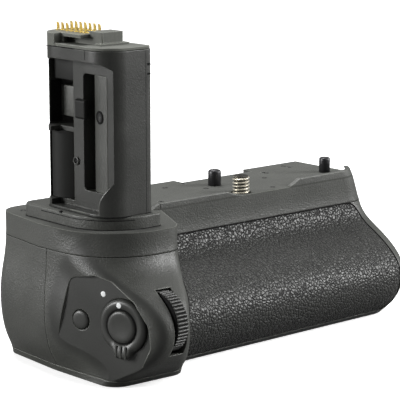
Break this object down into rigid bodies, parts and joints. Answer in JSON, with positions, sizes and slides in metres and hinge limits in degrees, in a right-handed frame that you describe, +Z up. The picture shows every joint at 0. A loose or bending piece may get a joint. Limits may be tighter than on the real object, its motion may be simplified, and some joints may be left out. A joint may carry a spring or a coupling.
{
  "type": "camera battery grip",
  "caption": "Camera battery grip with a hollow contact tower, thumb-wheel driven mounting screw, vertical shutter button, command dials, rubber grip and a sliding battery tray.",
  "frame": {"origin": "where the mounting screw's axis meets the top face that rests against the camera", "axes": "+Z up along the mounting screw, X along the body with the shutter button end at -X, the rubber grip side at -Y"},
  "size_m": [0.1577, 0.0867, 0.1202],
  "materials": {
    "casing": "fine spark texture, satin black",
    "tower": "fine satin black",
    "grip_rubber": "leather-like pebble",
    "control": "satin black",
    "dial": "satin black with ribs",
    "button": "satin black",
    "steel": "turned steel",
    "dark_metal": "black plated metal",
    "dark_screw": "black plated screw",
    "gold": "gold plated",
    "brass": "turned brass",
    "liner": "moulded black",
    "switch_black": "moulded black",
    "board": "green circuit board",
    "battery": "dark grey moulded"
  },
  "bodies": {
    "casing": {"top_cover": "casing", "front_cover": "casing", "rear_shell": "casing", "base_plate": "casing", "front_grip_rubber": "grip_rubber", "thumb_rest_rubber": "grip_rubber", "tower_flange": "casing", "tower_frame": "tower", "tower_cap": "tower", "tower_peg": "tower", "contact_block": "tower", "contact_pins": "gold", "plate_screws": "dark_screw", "base_screws": "dark_screw", "tripod_socket": "steel", "screw_bush": "dark_metal", "idler_pin": "steel", "wheel_axle": "steel", "gear_plate": "steel", "locating_pin_left": "dark_metal", "locating_pin_right": "dark_metal", "front_dial_axle": "steel", "rear_dial_axle": "steel", "rear_dial_bracket": "steel", "shutter_switch": "switch_black", "function_switch": "switch_black", "af_switch": "switch_black", "control_board": "board", "rear_board": "board", "main_board": "board", "joystick_base": "switch_black", "chamber_liner": "liner", "chamber_contacts": "gold"},
    "mounting_screw": {"mounting_screw": "steel", "screw_gear": "brass"},
    "idler": {"idler_gear": "brass"},
    "wheel": {"attachment_wheel": "control", "wheel_gear": "brass"},
    "front_dial": {"front_dial": "dial"},
    "rear_dial": {"rear_dial": "dial"},
    "shutter_button": {"shutter_button": "button"},
    "shutter_ring": {"shutter_lock_ring": "control"},
    "function_button": {"function_button": "button"},
    "af_button": {"af_button": "button"},
    "joystick_gimbal": {"joystick_gimbal": "switch_black"},
    "joystick_cap": {"joystick_cap": "button"},
    "battery_tray": {"battery_tray": "liner", "tray_cover": "casing", "battery_left": "battery", "battery_right": "battery"},
    "tray_latch": {"tray_latch": "control"}
  },
  "joints": [
    {"name": "wheel_turn", "type": "hinge", "parent": "casing", "child": "wheel", "pos_m": [0.01421, 0.01859, -0.0048], "axis": [0, 0, 1], "continuous": true},
    {"name": "idler_spin", "type": "hinge", "parent": "casing", "child": "idler", "pos_m": [0.00619, 0.0081, -0.0209], "axis": [0, 0, 1], "continuous": true},
    {"name": "screw_spin", "type": "hinge", "parent": "casing", "child": "mounting_screw", "pos_m": [0, 0, 0], "axis": [0, 0, 1], "continuous": true},
    {"name": "front_dial_spin", "type": "hinge", "parent": "casing", "child": "front_dial", "pos_m": [-0.0714, -0.0398, -0.029], "axis": [1, 0, 0], "continuous": true},
    {"name": "rear_dial_spin", "type": "hinge", "parent": "casing", "child": "rear_dial", "pos_m": [-0.071, 0.0269, -0.0185], "axis": [1, 0, 0], "continuous": true},
    {"name": "shutter_press", "type": "slide", "parent": "casing", "child": "shutter_button", "axis": [0.9613, 0.2756, 0], "range_m": [0, 0.001], "stiffness_N_per_m": 900},
    {"name": "shutter_ring_turn", "type": "hinge", "parent": "casing", "child": "shutter_ring", "pos_m": [-0.0828, -0.0329, -0.0301], "axis": [-0.9613, -0.2756, 0], "range_deg": [0, 35]},
    {"name": "function_press", "type": "slide", "parent": "casing", "child": "function_button", "axis": [0.9613, 0.2756, 0], "range_m": [0, 0.0008], "stiffness_N_per_m": 800},
    {"name": "af_press", "type": "slide", "parent": "casing", "child": "af_button", "axis": [0, -1, 0], "range_m": [0, 0.0008], "stiffness_N_per_m": 800},
    {"name": "joystick_tilt_x", "type": "hinge", "parent": "casing", "child": "joystick_gimbal", "pos_m": [-0.071, 0.0275, -0.038], "axis": [1, 0, 0], "range_deg": [-8, 8], "stiffness_Nm_per_rad": 0.02},
    {"name": "joystick_tilt_z", "type": "hinge", "parent": "joystick_gimbal", "child": "joystick_cap", "pos_m": [-0.071, 0.0275, -0.038], "axis": [0, 0, 1], "range_deg": [-8, 8], "stiffness_Nm_per_rad": 0.02},
    {"name": "tray_slide", "type": "slide", "parent": "casing", "child": "battery_tray", "axis": [0, 1, 0], "range_m": [0, 0.044]},
    {"name": "tray_latch_turn", "type": "hinge", "parent": "battery_tray", "child": "tray_latch", "pos_m": [0.0553, 0.0342, -0.0353], "axis": [0, -1, 0], "range_deg": [0, 90]}
  ],
  "couplings": [
    {"joint": "idler_spin", "follows": "wheel_turn", "ratio": -2.1429},
    {"joint": "screw_spin", "follows": "wheel_turn", "ratio": 1.5}
  ]
}
